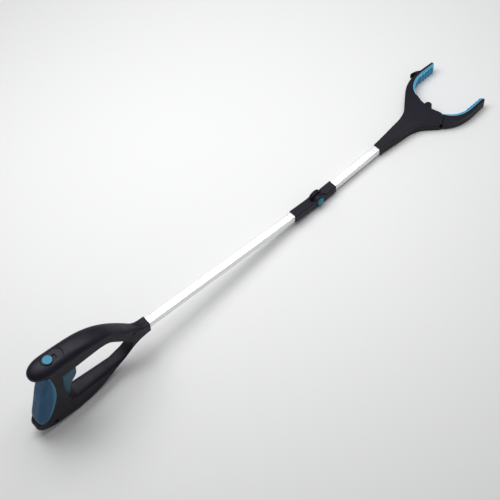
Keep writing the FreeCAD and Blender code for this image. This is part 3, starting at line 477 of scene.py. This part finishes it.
def handle_outlines():
    """Matching points on the handle's outside edge and on its finger loop."""
    under_cover = [TOP_EDGE[-1], (-477.6, PAD_TOP), GRIP_BACK[0]]
    outside = [smooth_line(TOP_EDGE, 70),
               spaced(joined(under_cover, smooth_line(GRIP_BACK, 60), smooth_line(HEEL, 20)), 60),
               spaced(joined(smooth_line(SOLE, 20), [SOLE[-1], GUARD[0]],
                             smooth_line(GUARD, 60)), 80),
               spaced([GUARD[-1], TOP_EDGE[0]], 14)]
    inside = [spaced(joined(smooth_line(LOOP_NOSE_TOP, 40), [LOOP_NOSE_TOP[-1], LOOP_BACK[0]]),
                     70),
              smooth_line(LOOP_BACK, 60),
              spaced(joined([LOOP_BACK[-1], LOOP_NOSE_LOW[0]], smooth_line(LOOP_NOSE_LOW, 40)),
                     80),
              spaced([LOOP_NOSE_LOW[-1], LOOP_NOSE_TOP[0]], 14)]
    outer = np.concatenate([run[:-1] for run in outside])
    inner = np.concatenate([run[:-1] for run in inside])
    return outer, inner


def edge_rounds(outer, inner, length):
    """The radii on the outside edge and on the finger loop at one slice."""
    nose = ramp(outer[0], -345, 25)
    heel = ramp(outer[0], -470, -25)
    grip = ramp(inner[0], -440, -12)
    guard = ramp(inner[0], -356, -25) * ramp(inner[1], -5, -15)
    round_outer = min(EDGE_ROUND - LESS_AT_NOSE * nose - LESS_AT_HEEL * heel, 0.42 * length)
    round_inner = min(LOOP_ROUND + MORE_ON_GUARD * guard * (1 - grip), 0.5 * length)
    return round_outer, round_inner


def quarter_round(radius):
    """A rounded edge: (distance in from the edge, drop from full width)."""
    turns = [math.pi / 2 * i / ROUND_STEPS for i in range(ROUND_STEPS + 1)]
    return [(radius * (1 - math.cos(turn)), radius * (1 - math.sin(turn))) for turn in turns]


def shell_slice(length, round_outer, round_inner):
    """One slice through a shell: (distance from the outer edge, drop from full width, level)."""
    flank = length - round_outer - round_inner
    rows = [(SPLIT_BEVEL, None, SPLIT_GAP), (0.0, None, SPLIT_RISE)]
    rows += [(along, drop, None) for along, drop in quarter_round(round_outer)]
    rows += [(round_outer + flank * i / FLANK_STEPS, 0.0, None) for i in range(1, FLANK_STEPS)]
    rows += [(length - along, drop, None) for along, drop in quarter_round(round_inner)[::-1]]
    return rows + [(length, None, SPLIT_GAP)]


def handle_shell(node, side):
    outer, inner = handle_outlines()
    points = []
    for start, end in zip(outer, inner):
        length = math.hypot(end[0] - start[0], end[1] - start[1])
        rows = shell_slice(length, *edge_rounds(start, end, length))
        for along, drop, level in rows:
            x, z = start + (end - start) * (along / length)
            y = level if drop is None else half_width(x) - drop
            points.append((x, side * y, z))
    faces = grid_faces(len(outer), len(rows), close_rows=True, close_columns=True)
    shell = new_piece(node, REAR, points, faces, BLACK)
    combine(shell, REAR, handle_cutters(), "DIFFERENCE")
    shade_by_angle(shell, 38)


# What is cut from both shells: the room inside for the trigger and the cable, the tube's seat,
# the palm pad's seat on each side of the core, and the screws' recesses in the right side.
PAD_SEAM = [(-477, PAD_TOP), (-474.5, 31), (-475.5, 15), (-479, 0), (-485, -15), (-491.5, -27),
            (-500, PAD_LOW)]
PAD_SEAT_BACK = -530
BAY = [(-336, -4.5), (-336, 8), (-347, 18.5), (-366, 37.3), (-389, 52.5), (-416, 60.8),
       (-440, 63.6), (-476, 64), (-478.3, 52), (-482, 37), (-488.8, 19), (-494.5, 1),
       (-497.5, -26), (-456, -26), (-456, 41.4), (-402, 41.4), (-386.5, 37.7), (-371, 22.9),
       (-355.5, 5.5), (-350, -4.5)]
BAY_HALF = 7.1
SLOT_HALF = 7.3
WINDOW_HALF = 5
TUBE_HALF = 5.75
CORE_HALF = 9.0
PAST_SIDE = 20
HAIR = 0.01  # keeps two blocks' faces out of one plane
SCREWS = [(-347.5, 13.2, 8.2), (-405, 57.0, 10.4), (-392, -36.0, 9.9), (-488, -50.0, 11.4)]
SCREW_HEAD, SCREW_DEPTH, PAST_HEAD = 2.8, 3.2, 6


def handle_cutters():
    tube_seat = box_outline((-334.5, NOSE + 5), (-TUBE_HALF, TUBE_HALF))
    trigger_slot = box_outline((-471, -433.5), (30, 43))
    grip_mouth = box_outline((-475, -450), (-26.2, 43.2))
    lock_window = box_outline((-489, -461), (60, 70))
    seam = [tuple(p) for p in smooth_line(PAD_SEAM, 60)]
    pad_seat = seam + [(PAD_SEAT_BACK, PAD_LOW), (PAD_SEAT_BACK, PAD_TOP)]
    blocks = [through("bay", BAY, BAY_HALF),
              through("trigger_slot", trigger_slot, SLOT_HALF),
              through("grip_mouth", grip_mouth, SLOT_HALF + HAIR),
              through("lock_window", lock_window, WINDOW_HALF),
              through("tube_seat", tube_seat, TUBE_HALF),
              prism("pad_seat_left", pad_seat, CORE_HALF, PAST_SIDE),
              prism("pad_seat_right", pad_seat, -PAST_SIDE, -CORE_HALF)]
    for number, (x, z, half) in enumerate(SCREWS):
        blocks.append(prism("seat_%d" % number, disc_outline((x, z), SCREW_HEAD),
                            -half - PAST_HEAD, -half + SCREW_DEPTH))
    return blocks


handle_shell("handle_shell_left", 1)
handle_shell("handle_shell_right", -1)

# ------------------------------------------------------------------ top cover
COVER = [  # x, half width, edge height, rise of the crown
    (-346, 7.0, 19.5, 1.6), (-366, 9.2, 39.5, 3.6), (-389, 12.6, 54.5, 7.0),
    (-402, 14.4, 59.0, 9.0), (-416, 15.5, 62.2, 10.6), (-440, 15.9, 64.8, 11.8),
    (-470, 16.4, 65.4, 12.2)]
COVER_END = 28.2
COVER_WALL = 2.9
COVER_SQUARE = 0.8
ARCH_STEPS = 36
LOCK_X = -467.3
RECESS_HALF, RECESS_LONG, RECESS_FLOOR = 9.2, 13.0, 75.3
THUMB_SLOT = box_outline((LOCK_X - 3.6, LOCK_X + 11.6), (-3.1, 3.1))


def cover_arch(half, rise):
    """A rounded arch from one rim to the other."""
    arch = []
    for i in range(ARCH_STEPS + 1):
        angle = math.pi * i / ARCH_STEPS
        across, up = math.cos(angle), math.sin(angle)
        arch.append((half * math.copysign(abs(across) ** COVER_SQUARE, across),
                     rise * abs(up) ** COVER_SQUARE))
    return arch


def cover_stations():
    """The cover's sections, with a rounded rear end."""
    start, half, edge, rise = COVER[-1]
    end = []
    for angle in np.linspace(0, math.pi / 2, 22)[1:]:
        reach = min(math.sin(angle), 0.996)
        end.append((start - COVER_END * reach, half * (1 - reach ** 2.2) ** (1 / 2.2), edge,
                    rise * (1 - reach ** 3) ** (1 / 3)))
    return np.concatenate([smooth_line(COVER, 70), end])


def thumb_recess():
    """The stadium round the thumb button, in plan."""
    quarter = math.pi / 2
    front = arc_outline((LOCK_X + RECESS_LONG, 0), RECESS_HALF, -quarter, quarter, 24)
    back = arc_outline((LOCK_X, 0), RECESS_HALF, quarter, 3 * quarter, 24)
    return front + back


def top_cover():
    stations = cover_stations()
    points = []
    for x, half, edge, rise in stations:
        outer = cover_arch(half, rise)
        inner = cover_arch(max(half - COVER_WALL, 0.5), max(rise - COVER_WALL, 0.3))
        for y, z in outer + inner[::-1]:
            points.append((x, y, edge + z))
    columns = 2 * (ARCH_STEPS + 1)
    faces = grid_faces(len(stations), columns, close_columns=True)
    last = (len(stations) - 1) * columns
    for i in range(ARCH_STEPS):
        mirror = columns - 1 - i
        faces.append((i, i + 1, mirror - 1, mirror))
        faces.append((last + i + 1, last + i, last + mirror, last + mirror - 1))
    cover = new_piece("handle_top_cover", REAR, points, faces, BLACK_SMOOTH)
    combine(cover, REAR, [prism("recess", thumb_recess(), RECESS_FLOOR, 90, "plan"),
                          prism("lock_slot", THUMB_SLOT, 60, 91, "plan")], "DIFFERENCE")
    soften(cover, voxel=0.45, rounds=3)


def lock_carrier():
    """The slide under the cover: its shutter keeps the thumb slot closed as it moves."""
    carrier = softened("lock_slide", BLACK, voxel=0.3, rounds=2)
    shutter = box_outline((LOCK_X - 12, LOCK_X + 13), (71.0, 73.6))
    combine(carrier, REAR, [through("shutter", shutter, 4.4)], "UNION")


top_cover()
lock_carrier()

# ------------------------------------------------------------------ palm pad
PAD_CROWN = [(-484, PAD_TOP), (-487.5, 40), (-494.5, 22), (-500.5, 3), (-506.5, -16),
             (-510.3, -30), (-511, PAD_LOW)]
PAD_SQUARE = 0.5
PAD_PROUD = 0.35
PAD_TUCK = 0.8
PAD_END_ROUND = 6.0
PAD_STEPS = 30


def palm_pad():
    """A soft crowned pad round the handle's core, its lip standing just proud of the shells."""
    seam = smooth_line(PAD_SEAM, 200)
    crown = smooth_line(PAD_CROWN, 200)
    core = smooth_line(GRIP_BACK, 200)
    levels = np.linspace(PAD_TOP, PAD_LOW + 0.2, 90)
    points = []
    for level in levels:
        seam_x = at_height(seam, level)
        end = min(PAD_TOP - level, level - PAD_LOW) / PAD_END_ROUND
        swell = min(1.0, 0.35 + 0.65 * (1 - (1 - min(end, 1.0)) ** 2) ** 0.5)
        wide = half_width(seam_x) + PAD_PROUD * swell - PAD_TUCK * (1 - swell)
        deep = (seam_x - at_height(crown, level)) * (0.8 + 0.2 * swell)
        ring = [(at_height(core, level), CORE_HALF), (seam_x + 0.6, CORE_HALF),
                (seam_x + 0.6, wide - 1.6), (seam_x + 0.5, wide - 0.5)]
        for i in range(PAD_STEPS + 1):
            angle = math.pi / 2 * i / PAD_STEPS
            ring.append((seam_x - deep * math.sin(angle) ** PAD_SQUARE,
                         wide * max(math.cos(angle), 0) ** PAD_SQUARE))
        for x, y in ring + [(x, -y) for x, y in ring[-2::-1]]:
            points.append((x, y, level))
    columns = len(points) // len(levels)
    faces = grid_faces(len(levels), columns, close_columns=True)
    faces += [tuple(range(columns)),
              tuple(range(len(points) - 1, len(points) - columns - 1, -1))]
    pad = new_piece("grip_pad", REAR, points, faces, PALM_RUBBER)
    shade_by_angle(pad, 50)


palm_pad()

# ------------------------------------------------------------------ other moulded pieces
MOULDED = [  # node, look, voxel and smoothing rounds
    ("trigger", TRIGGER_BLUE, 0.4, 8), ("lock_button", BLUE, 0.25, 5),
    ("hinge_rear_socket", BLACK, 0.4, 4), ("hinge_front_socket", BLACK, 0.4, 4),
    ("head_shell_top", BLACK, 0.5, 6), ("head_shell_bottom", BLACK, 0.5, 6),
    ("jaw_left", BLACK, 0.45, 6), ("jaw_right", BLACK, 0.45, 6),
    ("jaw_pad_left", JAW_RUBBER, 0.35, 5), ("jaw_pad_right", JAW_RUBBER, 0.35, 5),
]
pieces = {}
for node, look, voxel, rounds in MOULDED:
    pieces[node] = softened(node, look, voxel, rounds)

# ------------------------------------------------------------------ fold release and its pin
DOME_RADIUS, DOME_HEIGHT, DOME_SKIRT = 6.0, 3.6, 0.4
CAP_BORE, CAP_BORE_DEPTH, CAP_RIM, CAP_BEVEL = 4.2, 1.2, 0.8, 0.7
PIN_BORE = 2.3


def turned(profile, steps=72):
    """A turned shape about the Y axis from a profile of (radius, y) that starts and ends on it."""
    points = [(0, profile[0][1], 0), (0, profile[-1][1], 0)]
    ring = profile[1:-1]
    for radius, y in ring:
        for i in range(steps):
            angle = 2 * math.pi * i / steps
            points.append((radius * math.cos(angle), y, radius * math.sin(angle)))
    faces = [tuple(i + 2 for i in face)
             for face in grid_faces(len(ring), steps, close_columns=True)]
    last = 2 + (len(ring) - 1) * steps
    for i in range(steps):
        j = (i + 1) % steps
        faces.append((0, 2 + i, 2 + j))
        faces.append((1, last + j, last + i))
    return points, faces


def release_dome():
    """The domed release button: a hollow cap whose crown stands proud of the hinge cheek."""
    face = -HINGE_HALF
    rim = face + CAP_RIM
    floor = face - CAP_BORE_DEPTH
    crown = [(0, face - DOME_HEIGHT)]
    for angle in np.linspace(math.pi / 2, 0, 26)[1:]:
        crown.append((DOME_RADIUS * math.cos(angle) ** 0.8,
                      face - DOME_SKIRT - (DOME_HEIGHT - DOME_SKIRT) * math.sin(angle)))
    inside = [(DOME_RADIUS, rim - CAP_BEVEL), (DOME_RADIUS - CAP_BEVEL, rim), (CAP_BORE, rim),
              (CAP_BORE, floor), (0, floor)]
    points, faces = turned(crown + inside)
    points = [(x, y, z + FOLD_HEIGHT) for x, y, z in points]
    dome = new_piece("fold_release_button", REAR, points, faces, BLUE)
    shade_by_angle(dome, 50)


def pin_bore():
    """Makes the fold pin's bore round again after the softening."""
    bore = disc_outline((0, FOLD_HEIGHT), PIN_BORE, 64)
    combine(pieces["hinge_front_socket"], FRONT, [through("pin_bore", bore, 9)], "DIFFERENCE")


release_dome()
pin_bore()


# ------------------------------------------------------------------ floor, light, camera
def stage_floor():
    half = 6.0
    mesh = bpy.data.meshes.new("floor")
    mesh.from_pydata([(-half, -half, 0), (half, -half, 0), (half, half, 0), (-half, half, 0)],
                     [], [(0, 1, 2, 3)])
    floor = linked("floor", mesh)
    look = Look("paper_floor", rough=0.75)
    look.colour(look.blend(look.noise(3), (0.80, 0.802, 0.805), (0.82, 0.822, 0.825)))
    look.bump(look.noise(1500, detail=2), strength=0.05, depth=0.02)
    mesh.materials.append(look.made)


def softbox(name, place, aim, side, watts):
    """A square lamp that faces a point."""
    data = bpy.data.lights.new(name, "AREA")
    data.shape = "RECTANGLE"
    data.size = side
    data.size_y = side
    data.energy = watts
    lamp = linked(name, data)
    lamp.location = place
    lamp.rotation_euler = (Vector(aim) - Vector(place)).to_track_quat("-Z", "Y").to_euler()


def surround(tint, strength):
    world = bpy.data.worlds.new("studio")
    bpy.context.scene.world = world
    world.use_nodes = True
    background = world.node_tree.nodes["Background"]
    background.inputs["Color"].default_value = tint + (1,)
    background.inputs["Strength"].default_value = strength


CAMERA_TARGET = Vector((-96.05, 41.96, -85.35))
CAMERA_DISTANCE = 1439.3
CAMERA_AZIMUTH, CAMERA_ELEVATION, CAMERA_ROLL = 48.57, 55.18, -0.22
LENS, SENSOR, FAR_CLIP = 67.02, 36.0, 50


def photo_camera():
    """The camera. Its target and angles are given in the rear section's straight frame."""
    azimuth = math.radians(CAMERA_AZIMUTH)
    elevation = math.radians(CAMERA_ELEVATION)
    roll = math.radians(CAMERA_ROLL)
    back = Vector((-math.cos(elevation) * math.cos(azimuth),
                   -math.cos(elevation) * math.sin(azimuth), math.sin(elevation)))
    level_right = (-back).cross(Vector((0, 0, 1))).normalized()
    level_up = level_right.cross(-back)
    right = math.cos(roll) * level_right + math.sin(roll) * level_up
    up = -math.sin(roll) * level_right + math.cos(roll) * level_up
    turn = REAR.to_3x3().normalized()
    axes = Matrix((turn @ right, turn @ up, turn @ back)).transposed()
    place = REAR @ (CAMERA_TARGET + back * CAMERA_DISTANCE)
    data = bpy.data.cameras.new("photo_camera")
    data.lens = LENS
    data.sensor_width = SENSOR
    data.clip_end = FAR_CLIP
    camera = linked("photo_camera", data)
    camera.matrix_world = Matrix.Translation(place) @ axes.to_4x4()
    bpy.context.scene.camera = camera


stage_floor()
surround(tint=(0.99, 0.995, 1.0), strength=0.27)
softbox("handle_key", place=(0.10, 0.45, 0.95), aim=(0.10, 0.0, 0.0), side=0.6, watts=4.4)
softbox("overhead", place=(0.60, 0.16, 0.98), aim=(0.60, 0.15, 0.0), side=0.8, watts=7.0)
photo_camera()
bpy.context.scene.view_settings.view_transform = "Standard"
